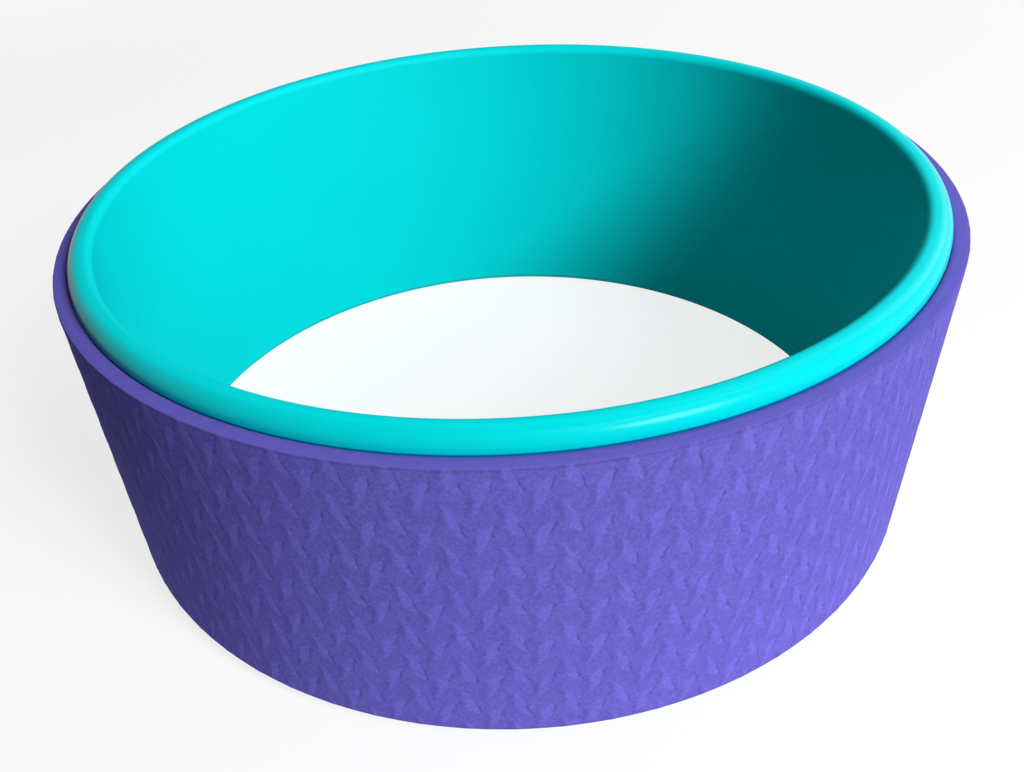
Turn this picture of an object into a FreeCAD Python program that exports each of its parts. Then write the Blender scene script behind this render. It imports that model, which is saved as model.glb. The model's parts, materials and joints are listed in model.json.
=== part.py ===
import FreeCAD, Part
import os
import Sketcher

# Yoga wheel: a stiff plastic hoop with a soft grip pad bonded round its outside.
# It lies on its side, as it is stored: the wheel's axis is +Z, the lower rim stands on Z = 0
# and the pad's seam faces +Y.

# Driving sizes, in millimetres and degrees.
driving_sizes = [
    ("tread_diameter", 330.0, "outside of the pad: a 13 inch wheel"),
    ("hoop_width", 125.0, "hoop along the axis, from rim to rim"),
    ("hoop_wall", 9.5, "hoop, from its inside to its outside"),
    ("rim_reveal", 6.5, "rim left bare beside the pad, at each end"),
    ("rim_land", 1.0, "flat ring on each rim, on which the wheel lies"),
    ("rim_outer_round", 5.5, "rounding from the land to the outside of the hoop"),
    ("pad_thickness", 5.5, "foam strip"),
    ("pad_edge_round", 0.5, "rounding of the strip's cut outer edges"),
    ("film_thickness", 0.2, "double-sided adhesive film under the pad"),
    ("film_inset", 1.0, "film short of the pad's edge, at each side"),
    ("seam_gap", 0.3, "gap between the strip's two butted ends"),
    ("seam_heading", 90.0, "where the seam is, in degrees from +X towards +Y"),
]

# Sizes that follow from the driving ones, from the tread inwards.
pad_outer = "(sizes.tread_diameter / 2)"
pad_inner = f"({pad_outer} - sizes.pad_thickness)"
hoop_outer = f"({pad_inner} - sizes.film_thickness)"
hoop_inner = f"({hoop_outer} - sizes.hoop_wall)"
pad_width = "(sizes.hoop_width - 2 * sizes.rim_reveal)"
film_width = f"({pad_width} - 2 * sizes.film_inset)"
rim_inner_round = "(sizes.hoop_wall - sizes.rim_land - sizes.rim_outer_round)"
seam_angle = f"(sizes.seam_gap / {pad_inner} * 180 / pi)"
middle_height = "(sizes.hoop_width / 2)"

doc = FreeCAD.newDocument("yoga_wheel")

sheet = doc.addObject("Spreadsheet::Sheet", "sizes")
for row, (alias, value, meaning) in enumerate(driving_sizes, start=1):
    sheet.set(f"A{row}", meaning)
    sheet.set(f"B{row}", str(value))
    sheet.setAlias(f"B{row}", alias)
doc.recompute()


def origin_plane(body, role):
    return next(plane for plane in body.Origin.OriginFeatures if plane.Role == role)


def ring_section(body, inner, outer, width):
    """Rectangle beside the axis, as high above the wheel's middle plane as below it."""
    section = body.newObject("Sketcher::SketchObject", body.Name + "_section")
    section.AttachmentSupport = (origin_plane(body, "XZ_Plane"), [""])
    section.MapMode = "FlatFace"
    # A rough outline first; its three sizes then come from the sheet.
    near, far, low, high = 140.0, 150.0, -50.0, 50.0
    corners = [(near, low), (far, low), (far, high), (near, high)]
    for start, end in zip(corners, corners[1:] + corners[:1]):
        section.addGeometry(Part.LineSegment(FreeCAD.Vector(*start, 0), FreeCAD.Vector(*end, 0)))
    for side in range(4):
        section.addConstraint(Sketcher.Constraint("Coincident", side, 2, (side + 1) % 4, 1))
    bottom, outside, top, inside = range(4)
    origin = -1
    section.addConstraint(Sketcher.Constraint("Horizontal", bottom))
    section.addConstraint(Sketcher.Constraint("Vertical", outside))
    section.addConstraint(Sketcher.Constraint("Horizontal", top))
    section.addConstraint(Sketcher.Constraint("Symmetric", inside, 1, inside, 2, origin))
    lengths = [
        ("inner_radius", Sketcher.Constraint("DistanceX", origin, 1, bottom, 1, near), inner),
        ("outer_radius", Sketcher.Constraint("DistanceX", origin, 1, bottom, 2, far), outer),
        ("width", Sketcher.Constraint("DistanceY", outside, 1, outside, 2, high - low), width),
    ]
    for name, constraint, size in lengths:
        number = section.addConstraint(constraint)
        section.renameConstraint(number, name)
        section.setExpression(f"Constraints.{name}", size)
    return section


def turned_ring(name, inner, outer, width, opening_angle="0"):
    """Ring turned about the wheel's axis; an opening angle leaves a gap at the seam."""
    body = doc.addObject("PartDesign::Body", name)
    body.Label = name
    body.setExpression(".Placement.Base.z", middle_height)
    body.setExpression(".Placement.Rotation.Angle", f"sizes.seam_heading + {opening_angle} / 2")
    section = ring_section(body, inner, outer, width)
    turn = body.newObject("PartDesign::Revolution", name + "_turn")
    turn.Profile = section
    turn.ReferenceAxis = (section, ["V_Axis"])
    turn.setExpression("Angle", f"360 - {opening_angle}")
    section.Visibility = False
    doc.recompute()
    return body


def round_rims(body, name, surface, size):
    """Round both end edges of the ring's inside or outside surface."""
    base = body.Tip
    radii = [edge.Curve.Radius for edge in base.Shape.Edges if isinstance(edge.Curve, Part.Circle)]
    radius = min(radii) if surface == "inside" else max(radii)
    edges = [
        f"Edge{number}"
        for number, edge in enumerate(base.Shape.Edges, start=1)
        if isinstance(edge.Curve, Part.Circle) and abs(edge.Curve.Radius - radius) < 1e-6
    ]
    rounding = body.newObject("PartDesign::Fillet", f"{body.Name}_{name}")
    rounding.Base = (base, edges)
    rounding.setExpression("Radius", size)
    doc.recompute()


# Stiff hoop, one closed ring. Each rim runs from a small inner round over the land to a wide outer round.
core_hoop = turned_ring("core_hoop", hoop_inner, hoop_outer, "sizes.hoop_width")
round_rims(core_hoop, "inner_rims", "inside", rim_inner_round)
round_rims(core_hoop, "outer_rims", "outside", "sizes.rim_outer_round")

# Adhesive film on the outside of the hoop, a strip with its ends at the pad's seam.
adhesive_film = turned_ring("adhesive_film", hoop_outer, pad_inner, film_width, seam_angle)

# Foam strip wrapped once round the film, its ends butted at the seam.
grip_pad = turned_ring("grip_pad", pad_inner, pad_outer, pad_width, seam_angle)
round_rims(grip_pad, "outer_edges", "outside", "sizes.pad_edge_round")

doc.recompute()
for item in doc.Objects:
    if "Invalid" in item.State or "Error" in item.State:
        raise RuntimeError(f"{item.Name} was not built: {item.State}")

sub_parts = [core_hoop, adhesive_film, grip_pad]
for sub_part in sub_parts:
    shape = sub_part.Shape
    if shape.isNull() or not shape.isValid() or len(shape.Solids) != 1:
        raise RuntimeError(f"{sub_part.Label} is not one valid solid")

os.makedirs("parts", exist_ok=True)
for sub_part in sub_parts:
    sub_part.Shape.exportStep(os.path.join("parts", sub_part.Label + ".step"))
    box = sub_part.Shape.optimalBoundingBox()
    print(f"{sub_part.Label}: {sub_part.Shape.Volume / 1000:.1f} cm3,"
          f" radius {box.XMax:.2f} mm, Z {box.ZMin:.2f} to {box.ZMax:.2f} mm")
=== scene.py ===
import json
from math import ceil, cos, pi, radians, sin
import bpy
from mathutils import Matrix, Vector


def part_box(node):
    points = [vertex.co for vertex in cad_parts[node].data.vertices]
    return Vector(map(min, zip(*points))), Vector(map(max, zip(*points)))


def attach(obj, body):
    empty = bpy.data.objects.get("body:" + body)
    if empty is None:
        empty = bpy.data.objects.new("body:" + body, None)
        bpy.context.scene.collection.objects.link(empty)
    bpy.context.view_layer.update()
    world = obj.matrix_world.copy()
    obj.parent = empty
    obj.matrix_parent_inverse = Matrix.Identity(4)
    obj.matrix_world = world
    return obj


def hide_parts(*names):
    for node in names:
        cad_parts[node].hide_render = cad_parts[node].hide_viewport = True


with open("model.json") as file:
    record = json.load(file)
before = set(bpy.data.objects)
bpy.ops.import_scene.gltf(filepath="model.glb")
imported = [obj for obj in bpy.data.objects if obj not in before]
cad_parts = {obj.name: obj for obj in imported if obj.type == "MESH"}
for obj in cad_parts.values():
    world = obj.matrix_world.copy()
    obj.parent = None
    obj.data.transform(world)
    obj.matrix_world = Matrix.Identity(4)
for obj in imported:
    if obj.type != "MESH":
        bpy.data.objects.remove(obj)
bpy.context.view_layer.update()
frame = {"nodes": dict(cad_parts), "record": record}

mm = 0.001

hoopLow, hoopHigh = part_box("core_hoop")
padLow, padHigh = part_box("grip_pad")
wheelMiddle = (hoopLow.z + hoopHigh.z) / 2
boreRadius = next(m for m in frame["record"]["mounts"] if m["name"] == "bore")["dims"]["r_mm"] * mm


# Node helpers

def feed(tree, socket, value):
    if isinstance(value, Field):
        value = value.socket
    if isinstance(value, bpy.types.NodeSocket):
        tree.links.new(value, socket)
    else:
        socket.default_value = value


def addNode(tree, kind, inputs=None, **settings):
    node = tree.nodes.new(kind)
    for name, value in settings.items():
        setattr(node, name, value)
    for key, value in (inputs or {}).items():
        feed(tree, node.inputs[key], value)
    return node


def mathField(tree, operation, *terms):
    node = addNode(tree, "ShaderNodeMath", operation=operation)
    for socket, term in zip(node.inputs, terms):
        feed(tree, socket, term)
    return Field(tree, node.outputs[0])


# A node's output that can be written in a formula.
class Field:
    def __init__(self, tree, socket):
        self.tree = tree
        self.socket = socket

    def math(self, operation, *terms):
        return mathField(self.tree, operation, self, *terms)

    def __add__(self, other):
        return self.math("ADD", other)

    def __sub__(self, other):
        return self.math("SUBTRACT", other)

    def __mul__(self, other):
        return self.math("MULTIPLY", other)

    def __truediv__(self, other):
        return self.math("DIVIDE", other)

    def __radd__(self, other):
        return mathField(self.tree, "ADD", other, self)

    def __rsub__(self, other):
        return mathField(self.tree, "SUBTRACT", other, self)

    def __rmul__(self, other):
        return mathField(self.tree, "MULTIPLY", other, self)

    def ramp(self, low, high, atLow=0.0, atHigh=1.0):
        node = addNode(self.tree, "ShaderNodeMapRange", interpolation_type="SMOOTHSTEP")
        for name, value in (("Value", self), ("From Min", low), ("From Max", high), ("To Min", atLow),
                            ("To Max", atHigh)):
            feed(self.tree, node.inputs[name], value)
        return Field(self.tree, node.outputs[0])


def newGeometryTree(name, sizes):
    tree = bpy.data.node_groups.new(name, "GeometryNodeTree")
    tree.interface.new_socket("Geometry", in_out="INPUT", socket_type="NodeSocketGeometry")
    idOf = {}
    for label in sizes:
        socket = tree.interface.new_socket(label, in_out="INPUT", socket_type="NodeSocketFloat")
        idOf[label] = socket.identifier
    finish = tree.interface.new_socket("Finish", in_out="INPUT", socket_type="NodeSocketMaterial")
    idOf["Finish"] = finish.identifier
    tree.interface.new_socket("Geometry", in_out="OUTPUT", socket_type="NodeSocketGeometry")
    given = addNode(tree, "NodeGroupInput")
    size = {label: Field(tree, given.outputs[label]) for label in sizes}
    return tree, idOf, given, size


def finishTree(tree, geometry, given):
    realized = addNode(tree, "GeometryNodeRealizeInstances", {"Geometry": geometry})
    smooth = addNode(tree, "GeometryNodeSetShadeSmooth", {"Geometry": realized.outputs[0]})
    coloured = addNode(tree, "GeometryNodeSetMaterial",
                       {"Geometry": smooth.outputs[0], "Material": given.outputs["Finish"]})
    addNode(tree, "NodeGroupOutput", {"Geometry": coloured.outputs[0]})


# Runs a tree on a starting mesh and leaves a plain mesh object at the origin.
def pieceFromTree(name, startMesh, tree, idOf, values):
    maker = bpy.data.objects.new(name + ".maker", startMesh)
    bpy.context.scene.collection.objects.link(maker)
    modifier = maker.modifiers.new(tree.name, "NODES")
    modifier.node_group = tree
    for label, value in values.items():
        modifier[idOf[label]] = value
    depsgraph = bpy.context.evaluated_depsgraph_get()
    mesh = bpy.data.meshes.new_from_object(maker.evaluated_get(depsgraph), depsgraph=depsgraph)
    mesh.name = name
    bpy.data.objects.remove(maker)
    piece = bpy.data.objects.new(name, mesh)
    bpy.context.scene.collection.objects.link(piece)
    return piece


def newShaderGroup(name, inputs, outputs):
    group = bpy.data.node_groups.new(name, "ShaderNodeTree")
    for label, value in inputs.items():
        kind = "NodeSocketColor" if isinstance(value, tuple) else "NodeSocketFloat"
        group.interface.new_socket(label, in_out="INPUT", socket_type=kind).default_value = value
    for label, kind in outputs.items():
        group.interface.new_socket(label, in_out="OUTPUT", socket_type="NodeSocket" + kind)
    return group, addNode(group, "NodeGroupInput"), addNode(group, "NodeGroupOutput")


def newMaterial(name):
    material = bpy.data.materials.new(name)
    material.use_nodes = True
    tree = material.node_tree
    return material, tree, tree.nodes["Principled BSDF"]


def mixColours(tree, factor, first, second):
    blend = addNode(tree, "ShaderNodeMix", {"Factor": factor}, data_type="RGBA")
    for socket, colour in zip([s for s in blend.inputs if s.type == "RGBA"], (first, second)):
        feed(tree, socket, colour)
    return next(s for s in blend.outputs if s.type == "RGBA")


clouding = {
    "detail": 4.0,
    "grit": 0.6,               # share of the fine noise
    "range": (0.3, 0.7),       # noise from which the dark colour turns into the light one
}


# Slight clouding of a colour and its gloss, as in any moulded or foamed plastic.
def makeClouding():
    group, given, result = newShaderGroup(
        "clouding",
        {"Light": (1.0, 1.0, 1.0, 1.0), "Dark": (0.8, 0.8, 0.8, 1.0), "Scale": 40.0,
         "Roughness": 0.4, "Roughness Spread": 0.05},
        {"Color": "Color", "Roughness": "Float"})
    place = addNode(group, "ShaderNodeTexCoord")
    noise = addNode(group, "ShaderNodeTexNoise",
                    {"Vector": place.outputs["Object"], "Scale": given.outputs["Scale"],
                     "Detail": clouding["detail"], "Roughness": clouding["grit"]})
    cloud = Field(group, noise.outputs["Fac"]).ramp(*clouding["range"])
    colour = mixColours(group, cloud, given.outputs["Dark"], given.outputs["Light"])
    group.links.new(colour, result.inputs["Color"])
    spread = Field(group, given.outputs["Roughness Spread"])
    rough = (cloud - 0.5) * spread + Field(group, given.outputs["Roughness"])
    feed(group, result.inputs["Roughness"], rough)
    return group


cloudGroup = makeClouding()


def addClouding(tree, finish):
    clouds = addNode(tree, "ShaderNodeGroup", node_tree=cloudGroup)
    for label, name in (("Light", "light"), ("Dark", "dark"), ("Scale", "cloudScale"),
                        ("Roughness", "roughness"), ("Roughness Spread", "glossSpread")):
        clouds.inputs[label].default_value = finish[name]
    return clouds


# Hoop: one moulded ring, turned from its rounded section

hoop = {
    "wall": 9.5 * mm,
    "outerRound": 5.5 * mm,
    "land": 1.0 * mm,          # flat ring on each rim; the inner round takes the rest of the wall
    "segments": 640,
    "roundSteps": 12,
    "light": (0.0, 0.68, 0.71, 1.0),
    "dark": (0.0, 0.655, 0.685, 1.0),
    "cloudScale": 9.0,
    "roughness": 0.2,          # of the polished rims
    "glossSpread": 0.06,
    "boreRoughness": 0.4,      # added in the satin bore
    "specular": 0.05,
    "polished": (4.5 * mm, 7.0 * mm),  # starts and is full this far from the bore
    "polishTone": 0.86,                # polished plastic looks a little deeper
    "seatShade": (0.0, 0.13, 0.30, 1.0),    # painted shade in the corner beside the pad
    "seatShadeLine": (0.6 * mm, 0.1 * mm),  # painted shade starts and is full this far from the pad's end
    "peelScale": 420.0,        # faint unevenness of the moulded skin
    "peelDetail": 2.0,
    "peelStrength": 0.1,
    "peelDepth": 0.1 * mm,
}
hoopOuter = boreRadius + hoop["wall"]


def makeHoopFinish():
    material, tree, shader = newMaterial("hoopPlastic")
    clouds = addClouding(tree, hoop)
    shader.inputs["Specular IOR Level"].default_value = hoop["specular"]
    place = addNode(tree, "ShaderNodeTexCoord")
    parts = addNode(tree, "ShaderNodeSeparateXYZ", {"Vector": place.outputs["Object"]})
    x, y, z = [Field(tree, parts.outputs[name]) for name in "XYZ"]
    radius = (x * x + y * y).math("SQRT")
    satinEnd, polishStart = hoop["polished"]
    bore = radius.ramp(boreRadius + satinEnd, boreRadius + polishStart, 1.0, 0.0)
    rough = Field(tree, clouds.outputs["Roughness"]) + bore * hoop["boreRoughness"]
    feed(tree, shader.inputs["Roughness"], rough)
    padEnd = (padHigh.z - padLow.z) / 2
    fromMiddle = (z - wheelMiddle).math("ABSOLUTE")
    start, full = hoop["seatShadeLine"]
    # painted shade: darker band on the hoop's outer wall next to the pad's ends
    seatShade = fromMiddle.ramp(padEnd + full, padEnd + start, 1.0, 0.0) * (1.0 - bore)
    tone = hoop["polishTone"] + bore * (1.0 - hoop["polishTone"])
    deeper = addNode(tree, "ShaderNodeVectorMath", {0: clouds.outputs["Color"], "Scale": tone},
                     operation="SCALE")
    tree.links.new(mixColours(tree, seatShade, deeper.outputs[0], hoop["seatShade"]), shader.inputs["Base Color"])
    peel = addNode(tree, "ShaderNodeTexNoise",
                   {"Vector": place.outputs["Object"], "Scale": hoop["peelScale"],
                    "Detail": hoop["peelDetail"]})
    bump = addNode(tree, "ShaderNodeBump",
                   {"Height": peel.outputs["Fac"], "Strength": hoop["peelStrength"],
                    "Distance": hoop["peelDepth"]})
    tree.links.new(bump.outputs["Normal"], shader.inputs["Normal"])
    return material


def makeHoop():
    tree, idOf, given, size = newGeometryTree(
        "hoopTurning", ["Inner Radius", "Wall", "Width", "Inner Round", "Outer Round", "Height"])
    section = addNode(tree, "GeometryNodeCurvePrimitiveQuadrilateral")
    feed(tree, section.inputs["Width"], size["Wall"])
    feed(tree, section.inputs["Height"], size["Width"])
    # the two corners on the bore side take the small round
    corner = addNode(tree, "GeometryNodeInputPosition")
    parts = addNode(tree, "ShaderNodeSeparateXYZ", {"Vector": corner.outputs[0]})
    onBore = Field(tree, parts.outputs["X"]).math("LESS_THAN", 0.0)
    radius = size["Outer Round"] + onBore * (size["Inner Round"] - size["Outer Round"])
    rounded = addNode(tree, "GeometryNodeFilletCurve",
                      {"Curve": section.outputs[0], "Count": hoop["roundSteps"], "Radius": radius},
                      mode="POLY")
    path = addNode(tree, "GeometryNodeCurvePrimitiveCircle",
                   {"Resolution": hoop["segments"], "Radius": size["Inner Radius"] + size["Wall"] * 0.5})
    turned = addNode(tree, "GeometryNodeCurveToMesh",
                     {"Curve": path.outputs[0], "Profile Curve": rounded.outputs[0]})
    lift = addNode(tree, "ShaderNodeCombineXYZ", {"Z": size["Height"]})
    placed = addNode(tree, "GeometryNodeSetPosition",
                     {"Geometry": turned.outputs[0], "Offset": lift.outputs[0]})
    finishTree(tree, placed.outputs[0], given)
    piece = pieceFromTree("hoop", bpy.data.meshes.new("hoopStart"), tree, idOf, {
        "Inner Radius": boreRadius,
        "Wall": hoop["wall"],
        "Width": hoopHigh.z - hoopLow.z,
        "Inner Round": hoop["wall"] - hoop["land"] - hoop["outerRound"],
        "Outer Round": hoop["outerRound"],
        "Height": wheelMiddle,
        "Finish": makeHoopFinish(),
    })
    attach(piece, "root")
    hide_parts("core_hoop")
    return piece


# Pad: a foam strip wrapped once round the hoop, pressed all over with rows of leaning leaves

film = {
    "thickness": 0.2 * mm,     # adhesive between the hoop and the pad
    "light": (0.62, 0.60, 0.55, 1.0),
    "dark": (0.52, 0.50, 0.46, 1.0),
    "cloudScale": 120.0,
    "roughness": 0.5,
    "glossSpread": 0.1,
}

pad = {
    "thickness": 5.5 * mm,
    "edgeRound": 0.5 * mm,
    "innerEase": 0.3 * mm,     # softened corner beside the hoop
    "roundSteps": 4,
    "endSteps": 3,
    "seamGap": (0.05 * mm, 0.45 * mm),  # at the hoop and at the face
    "seamHeading": 90.0,       # degrees from +X towards +Y: the back
    "cellsAround": 64,         # two leaves in each cell
    "cellHeight": 15.9 * mm,
    "columnsPerCell": 26,
    "rowStep": 0.62 * mm,
    "patternStart": (8.7 * mm, 1.6 * mm),  # along and across the strip
    "relief": 0.11 * mm,
    "topLightTone": 0.14,           # painted highlight on the leaves' tops, painted shade in the hollows beside them
    "hollowShadeTone": -0.09,
    # painted shade in each leaf's crease
    "creaseShadeTone": -0.25,
    "light": (0.126, 0.106, 0.475, 1.0),
    "dark": (0.116, 0.098, 0.44, 1.0),
    "cloudScale": 160.0,
    "roughness": 0.75,
    "glossSpread": 0.08,
    "specular": 0.02,
    "hatchPitch": 1.15 * mm,
    "hatchAngle": 62.0,        # degrees from the strip's length
    "hatchDepth": 0.006,       # millimetres, as is the grain's depth
    "waver": 3.0,              # strokes by which the hatch strays from straight
    "waverScale": 240.0,
    "waverDetail": 2.0,
    "grainDepth": 0.1,
    "grainTone": 0.7,
    "grainScale": 900.0,
    "grainDetail": 3.0,
    "wander": 2.2 * mm,        # how far the foam breaks up the leaves' edges
    "wanderScale": 520.0,
    "wanderDetail": 1.0,
    "edgeShadeTone": -0.2,          # painted shade: darker line along the strip's edges
    "edgeShadeLine": (1.4 * mm, 0.5 * mm),
}
padInner = hoopOuter + film["thickness"]
padOuter = padInner + pad["thickness"]

leaf = {
    "Cell Length": 2 * pi * padOuter / pad["cellsAround"],
    "Cell Height": pad["cellHeight"],
    "Leaf Length": 13.5 * mm,
    "Leaf Width": 3.1 * mm,
    "Leaf Lean": 3.5 * mm,     # sideways reach from its middle to its tip
    "Flank": 2.7 * mm,         # slope up to its left edge
    "Crease": 0.7 * mm,        # slope out of it on its right
}

# shares of a leaf's own length, width, flank or crease
leafShape = {
    "curl": 0.67,              # of the lean that grows with the cube of the height
    "fullness": 0.75,          # power that rounds the sides
    "taper": 0.75,             # wider below, narrower above
    "tips": (0.8, 1.0),        # where it fades out towards its tips
    "standing": (-0.4, -0.1),  # from sunk below to standing above
    "fallEnd": 0.4,            # the top's slope ends this far into the crease
    "climb": (0.15, 1.15),
    "topStart": (-0.2, 0.3),
    "topEnd": (-0.3, 0.6),
    "hollow": (-1.0, -0.4),
    "line": (0.5, 1.5),        # middle and end of the painted shade line in the crease
}


# One leaf in each cell. Its left edge stands up in its upper half, its right edge is sunk in its
# lower half, and its top slopes from one to the other. A flip of -1 turns it upside down.
def leafField(size, along, across, shift, flip):
    x = ((along / size["Cell Length"] + shift).math("FRACT") - 0.5) * size["Cell Length"]
    y = ((across / size["Cell Height"] + shift).math("FRACT") - 0.5) * size["Cell Height"] * flip
    reach = y / (size["Leaf Length"] * 0.5)  # -1 at the lower tip, 1 at the upper one
    square = reach * reach
    curl = leafShape["curl"]
    side = x + reach * (square * curl + (1.0 - curl)) * size["Leaf Lean"]
    rounded = (1.0 - square).math("MAXIMUM", 0.0).math("POWER", leafShape["fullness"])
    swell = rounded * (1.0 - reach * leafShape["taper"])
    half = swell * size["Leaf Width"] * 0.5
    tips = reach.math("ABSOLUTE").ramp(*leafShape["tips"], 1.0, 0.0)
    standing = reach.ramp(*leafShape["standing"])
    fromLeft = side + half
    fromRight = side - half
    flank, out = size["Flank"], size["Crease"]
    rise = fromLeft.ramp(flank * -1.0, 0.0)
    slope = fromLeft / (half * 2.0 + out * leafShape["fallEnd"])
    fall = slope.math("MAXIMUM", 0.0).math("MINIMUM", 1.0)

    def slopeOver(edge, length, name, atLow=0.0, atHigh=1.0):
        low, high = leafShape[name]
        return edge.ramp(length * low, length * high, atLow, atHigh)

    climb = slopeOver(fromRight, out, "climb")
    height = (rise * standing - fall + climb * (1.0 - standing)) * tips
    # masks for the painted highlight on the leaf's top and the painted shade in its hollow and crease
    onLeaf = slopeOver(fromLeft, flank, "topStart")
    top = onLeaf * slopeOver(fromRight, out, "topEnd", 1.0, 0.0) * tips
    hollow = slopeOver(fromLeft, flank, "hollow") * (1.0 - onLeaf) * standing * tips
    lineMiddle = leafShape["line"][0]
    line = fromRight.ramp(0.0, out * lineMiddle) * slopeOver(fromRight, out, "line", 1.0, 0.0)
    return {"height": height, "top": top, "hollow": hollow, "crease": line * (1.0 - standing) * tips}


# How far the foam carries a point of the pattern along and across the strip, so that no two
# leaves are the same.
def wanderFields(tree, place):
    drift = addNode(tree, "ShaderNodeTexNoise",
                    {"Vector": place, "Scale": pad["wanderScale"], "Detail": pad["wanderDetail"]})
    parts = addNode(tree, "ShaderNodeSeparateXYZ", {"Vector": drift.outputs["Color"]})
    return [(Field(tree, parts.outputs[name]) - 0.5) * pad["wander"] for name in "XY"]


def leafPair(size, along, across):
    upright = leafField(size, along, across, 0.0, 1.0)
    turned = leafField(size, along, across, 0.5, -1.0)
    return {name: upright[name] + turned[name] for name in upright}


# Section of the strip: (radius, height from the middle, share of the pressing), from the upper
# inner corner over the outer face to the lower one.
def padSection():
    roundSteps, endSteps = pad["roundSteps"], pad["endSteps"]
    edge, ease = pad["edgeRound"], pad["innerEase"]
    half = (padHigh.z - padLow.z) / 2
    endDepth = padOuter - edge - padInner - ease
    upper = [(padInner, half - ease, 0.0)]
    for i in range(endSteps):
        upper.append((padInner + ease + endDepth * i / endSteps, half, 0.0))
    for i in range(roundSteps + 1):
        turn = pi / 2 * i / roundSteps
        upper.append((padOuter - edge + edge * sin(turn), half - edge + edge * cos(turn), sin(turn)))
    faceSteps = ceil((half - edge) * 2 / pad["rowStep"])
    face = [(padOuter, (half - edge) * (1 - 2 * i / faceSteps), 1.0) for i in range(1, faceSteps)]
    lower = [(radius, -height, share) for radius, height, share in reversed(upper)]
    return upper + face + lower


def makePadStrip():
    section = padSection()
    columns = pad["cellsAround"] * pad["columnsPerCell"]
    tight, wide = pad["seamGap"]
    seam = radians(pad["seamHeading"])
    points, along, across, pressed = [], [], [], []
    for column in range(columns + 1):
        for radius, height, share in section:
            gap = (tight + (wide - tight) * (radius - padInner) / pad["thickness"]) / padOuter
            turn = gap / 2 + (2 * pi - gap) * column / columns
            points.append((radius * cos(seam + turn), radius * sin(seam + turn), wheelMiddle + height))
            along.append(turn * padOuter + pad["patternStart"][0])
            across.append(height + pad["patternStart"][1])
            pressed.append(share)
    count = len(section)
    faces = []
    for column in range(columns):
        here, there = column * count, (column + 1) * count
        for row in range(count):
            after = (row + 1) % count
            faces.append((here + row, here + after, there + after, there + row))
    faces.append(tuple(range(count - 1, -1, -1)))
    faces.append(tuple(range(columns * count, (columns + 1) * count)))
    mesh = bpy.data.meshes.new("padStrip")
    mesh.from_pydata(points, [], faces)
    for name, values in (("along", along), ("across", across), ("pressed", pressed)):
        mesh.attributes.new(name, "FLOAT", "POINT").data.foreach_set("value", values)
    return mesh


def makePadTree():
    tree, idOf, given, size = newGeometryTree("padPressing", ["Relief"] + list(leaf))
    read = {}
    for name in ("along", "across", "pressed"):
        node = addNode(tree, "GeometryNodeInputNamedAttribute", {"Name": name}, data_type="FLOAT")
        read[name] = Field(tree, node.outputs["Attribute"])
    place = addNode(tree, "GeometryNodeInputPosition")
    alongDrift, acrossDrift = wanderFields(tree, place.outputs[0])
    height = leafPair(size, read["along"] + alongDrift, read["across"] + acrossDrift)["height"]
    depth = (height - 1.0) * size["Relief"] * read["pressed"]
    level = addNode(tree, "ShaderNodeVectorMath", {0: place.outputs[0], 1: (1.0, 1.0, 0.0)},
                    operation="MULTIPLY")
    outward = addNode(tree, "ShaderNodeVectorMath", {0: level.outputs[0]}, operation="NORMALIZE")
    offset = addNode(tree, "ShaderNodeVectorMath", {0: outward.outputs[0], "Scale": depth},
                     operation="SCALE")
    moved = addNode(tree, "GeometryNodeSetPosition",
                    {"Geometry": given.outputs["Geometry"], "Offset": offset.outputs[0]})
    finishTree(tree, moved.outputs[0], given)
    return tree, idOf


def makeLeafGroup():
    masks = ("top", "hollow", "crease")
    group, given, result = newShaderGroup("leafPattern", {"Along": 0.0, "Across": 0.0, **leaf},
                                          {name: "Float" for name in masks})
    size = {label: Field(group, given.outputs[label]) for label in leaf}
    fields = leafPair(size, Field(group, given.outputs["Along"]), Field(group, given.outputs["Across"]))
    for name in masks:
        feed(group, result.inputs[name], fields[name])
    return group


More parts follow.
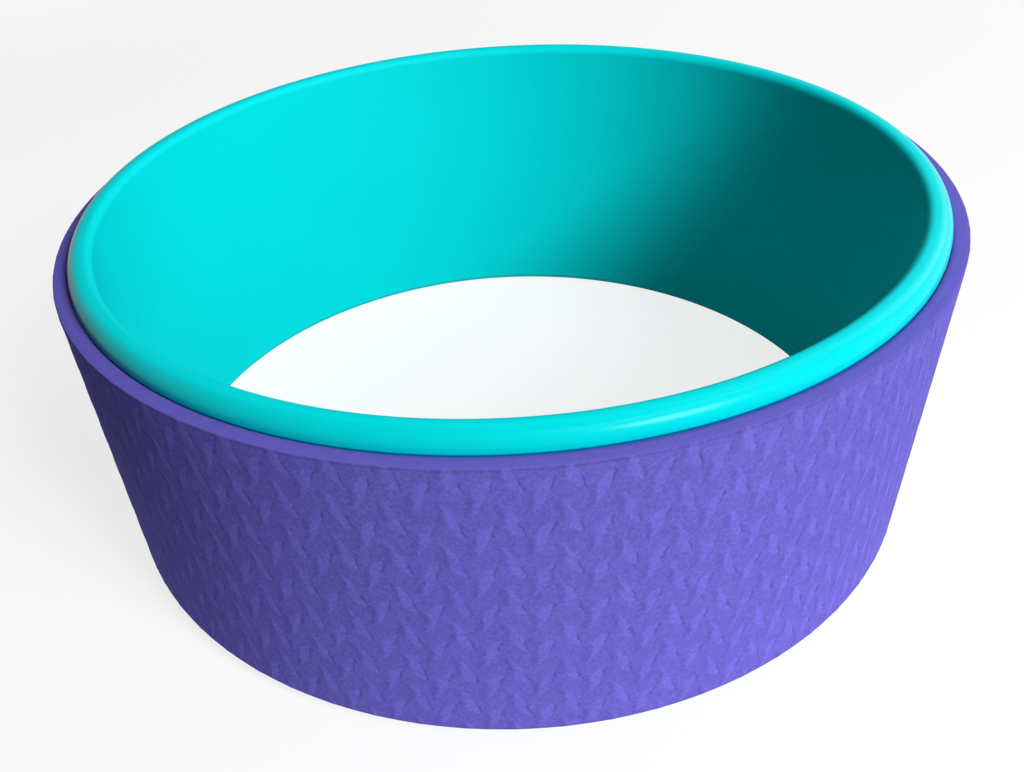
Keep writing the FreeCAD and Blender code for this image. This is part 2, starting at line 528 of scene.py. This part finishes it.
def makePadFinish():
    material, tree, shader = newMaterial("padFoam")
    read = {}
    for name in ("along", "across", "pressed"):
        node = addNode(tree, "ShaderNodeAttribute", attribute_name=name)
        read[name] = Field(tree, node.outputs["Fac"])
    pattern = addNode(tree, "ShaderNodeGroup", node_tree=makeLeafGroup())
    place = addNode(tree, "ShaderNodeTexCoord")
    grain = addNode(tree, "ShaderNodeTexNoise",
                    {"Vector": place.outputs["Object"], "Scale": pad["grainScale"],
                     "Detail": pad["grainDetail"]})
    alongDrift, acrossDrift = wanderFields(tree, place.outputs["Object"])
    feed(tree, pattern.inputs["Along"], read["along"] + alongDrift)
    feed(tree, pattern.inputs["Across"], read["across"] + acrossDrift)
    top, hollow, crease = [Field(tree, pattern.outputs[name]) for name in ("top", "hollow", "crease")]
    clouds = addClouding(tree, pad)
    tree.links.new(clouds.outputs["Roughness"], shader.inputs["Roughness"])
    shader.inputs["Specular IOR Level"].default_value = pad["specular"]
    speckle = Field(tree, grain.outputs["Fac"]) - 0.5
    halfWidth = (padHigh.z - padLow.z) / 2
    fromMiddle = (read["across"] - pad["patternStart"][1]).math("ABSOLUTE")
    # painted shade along the strip's edges
    start, full = pad["edgeShadeLine"]
    edge = fromMiddle.ramp(halfWidth - start, halfWidth - full)
    # painted highlight on leaf tops, painted shade in hollows, creases and along the edges, plus the
    # foam's own grain
    tones = (top * pad["topLightTone"] + hollow * pad["hollowShadeTone"] + crease * pad["creaseShadeTone"]
             + edge * pad["edgeShadeTone"] + speckle * pad["grainTone"])
    toned = addNode(tree, "ShaderNodeVectorMath",
                    {0: clouds.outputs["Color"], "Scale": 1.0 + tones * read["pressed"]},
                    operation="SCALE")
    tree.links.new(toned.outputs[0], shader.inputs["Base Color"])
    # fine slanted strokes between the leaves, and the foam's own grain
    lean = radians(pad["hatchAngle"])
    waver = addNode(tree, "ShaderNodeTexNoise",
                    {"Vector": place.outputs["Object"], "Scale": pad["waverScale"],
                     "Detail": pad["waverDetail"]})
    phase = (read["along"] * (sin(lean) / pad["hatchPitch"])
             + read["across"] * (cos(lean) / pad["hatchPitch"])
             + Field(tree, waver.outputs["Fac"]) * pad["waver"])
    strokes = (phase * (2 * pi)).math("SINE") * (1.0 - top) * read["pressed"]
    height = strokes * pad["hatchDepth"] + speckle * pad["grainDepth"]
    bump = addNode(tree, "ShaderNodeBump", {"Height": height, "Strength": 1.0, "Distance": mm})
    tree.links.new(bump.outputs["Normal"], shader.inputs["Normal"])
    return material


def makePad():
    tree, idOf = makePadTree()
    piece = pieceFromTree("gripPad", makePadStrip(), tree, idOf,
                          {**leaf, "Relief": pad["relief"], "Finish": makePadFinish()})
    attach(piece, "root")
    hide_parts("grip_pad")
    return piece


# Adhesive film: its solid stays, under the pad

def dressFilm():
    material, tree, shader = newMaterial("filmAdhesive")
    clouds = addClouding(tree, film)
    tree.links.new(clouds.outputs["Color"], shader.inputs["Base Color"])
    tree.links.new(clouds.outputs["Roughness"], shader.inputs["Roughness"])
    solid = frame["nodes"]["adhesive_film"]
    solid.data.materials.clear()
    solid.data.materials.append(material)


# Stage: pale floor, a round softbox on the right, weak ones overhead and behind on the right

stage = {
    "floorSize": 12.0,
    "floorSeen": 0.93,         # floor's grey as the camera sees it
    "floorWhite": 0.8,         # share of plain white added to what the camera sees
    "floorFar": (0.5, 1.6),    # metres: from here to there that share grows to the whole
    "floorThrown": 0.9,        # grey that lights the wheel from below, as on a small pale table
    "floorDark": 0.1,          # and the same further off and in the wheel's own shade
    "floorEdges": (0.14, 0.17, 0.25, 0.40),  # metres: pale from the first two, dark from the last two
    "floorRoughness": 0.9,
    "floorSpecular": 0.1,
    "worldLevel": 0.01,
    # azimuth from the front towards the right and elevation in degrees; distance, width and
    # height in metres; a level of 1 lights a surface that faces the lamp as its colour is written
    "lamps": {
        "key": (40.0, 34.0, 1.8, 0.65, 0.65, 1.24),
        "top": (55.0, 62.0, 1.5, 1.6, 0.12, 0.19),
        "back": (130.0, 30.0, 1.5, 0.8, 0.8, 0.21),
    },
}


# 1 for what the camera sees straight, mirrored or through something, 0 for light thrown on the wheel.
def seenRays(tree):
    rays = addNode(tree, "ShaderNodeLightPath")
    straight, mirrored, through = [Field(tree, rays.outputs[name]) for name in
                                   ("Is Camera Ray", "Is Glossy Ray", "Is Transmission Ray")]
    return (straight + mirrored + through).math("MINIMUM", 1.0)


def makeFloor():
    half = stage["floorSize"] / 2
    mesh = bpy.data.meshes.new("floor")
    corners = [(-half, -half, 0), (half, -half, 0), (half, half, 0), (-half, half, 0)]
    mesh.from_pydata(corners, [], [(0, 1, 2, 3)])
    floor = bpy.data.objects.new("floor", mesh)
    bpy.context.scene.collection.objects.link(floor)
    material, tree, shader = newMaterial("floorPale")
    seen = seenRays(tree)
    place = addNode(tree, "ShaderNodeTexCoord")
    away = addNode(tree, "ShaderNodeVectorMath", {0: place.outputs["Object"]}, operation="LENGTH")
    away = Field(tree, away.outputs["Value"])
    shadeEdge, paleEdge, paleEnd, tableEnd = stage["floorEdges"]
    pale = away.ramp(shadeEdge, paleEdge) * away.ramp(paleEnd, tableEnd, 1.0, 0.0)
    thrown = stage["floorDark"] + pale * (stage["floorThrown"] - stage["floorDark"])
    feed(tree, shader.inputs["Base Color"], thrown + seen * (stage["floorSeen"] - thrown))
    shader.inputs["Roughness"].default_value = stage["floorRoughness"]
    shader.inputs["Specular IOR Level"].default_value = stage["floorSpecular"]
    white = addNode(tree, "ShaderNodeEmission", {"Strength": 1.0})
    share = away.ramp(*stage["floorFar"], stage["floorWhite"], 1.0)
    mix = addNode(tree, "ShaderNodeMixShader",
                  {0: seen * share, 1: shader.outputs[0], 2: white.outputs[0]})
    tree.links.new(mix.outputs[0], tree.nodes["Material Output"].inputs["Surface"])
    mesh.materials.append(material)


def makeWorld():
    world = bpy.data.worlds.new("surroundings")
    world.use_nodes = True
    tree = world.node_tree
    ground = tree.nodes["Background"]
    seen = seenRays(tree)
    feed(tree, ground.inputs["Strength"], seen * (1.0 - stage["worldLevel"]) + stage["worldLevel"])
    ground.inputs["Color"].default_value = (1.0, 1.0, 1.0, 1.0)
    bpy.context.scene.world = world


def makeLamp(name, azimuth, elevation, distance, width, height, level):
    a, e = radians(azimuth), radians(elevation)
    heading = Vector((sin(a) * cos(e), -cos(a) * cos(e), sin(e)))
    lamp = bpy.data.lights.new(name, "AREA")
    lamp.shape = "ELLIPSE"
    lamp.size = width
    lamp.size_y = height
    lamp.energy = level * (pi * distance) ** 2
    holder = bpy.data.objects.new(name, lamp)
    holder.location = Vector((0, 0, wheelMiddle)) + heading * distance
    holder.rotation_euler = heading.to_track_quat("Z", "Y").to_euler()
    bpy.context.scene.collection.objects.link(holder)


# Camera: in front and above, with the wheel's middle as the centre of its swing

view = {
    "distance": 417.466 * mm,
    "elevation": 31.038,
    "pan": 2.899,
    "tilt": -10.679,
    "roll": 3.164,
    "focalPixels": 979.112,
    "pictureWidth": 1024,
    "shiftPixels": (48.598, 122.225),
    "sensorWidth": 36.0,       # millimetres
    "clipStart": 10 * mm,
}


def makeCamera():
    e = radians(view["elevation"])
    camera = bpy.data.cameras.new("photoCamera")
    camera.sensor_width = view["sensorWidth"]
    camera.lens = view["focalPixels"] / view["pictureWidth"] * camera.sensor_width
    camera.shift_x = view["shiftPixels"][0] / view["pictureWidth"]
    camera.shift_y = view["shiftPixels"][1] / view["pictureWidth"]
    camera.clip_start = view["clipStart"]
    holder = bpy.data.objects.new("photoCamera", camera)
    place = Vector((0, -cos(e), sin(e))) * view["distance"] + Vector((0, 0, wheelMiddle))
    turn = (Matrix.Rotation(pi / 2 - e, 4, "X")
            @ Matrix.Rotation(radians(view["pan"]), 4, "Y")
            @ Matrix.Rotation(radians(view["tilt"]), 4, "X")
            @ Matrix.Rotation(-radians(view["roll"]), 4, "Z"))
    holder.matrix_world = Matrix.Translation(place) @ turn
    bpy.context.scene.collection.objects.link(holder)
    bpy.context.scene.camera = holder


makeHoop()
print("hoop turned")
makePad()
print("pad pressed and wrapped")
dressFilm()
makeFloor()
makeWorld()
for name, lamp in stage["lamps"].items():
    makeLamp(name, *lamp)
makeCamera()
bpy.context.scene.view_settings.view_transform = "Standard"
print("stage, lamps and camera set")
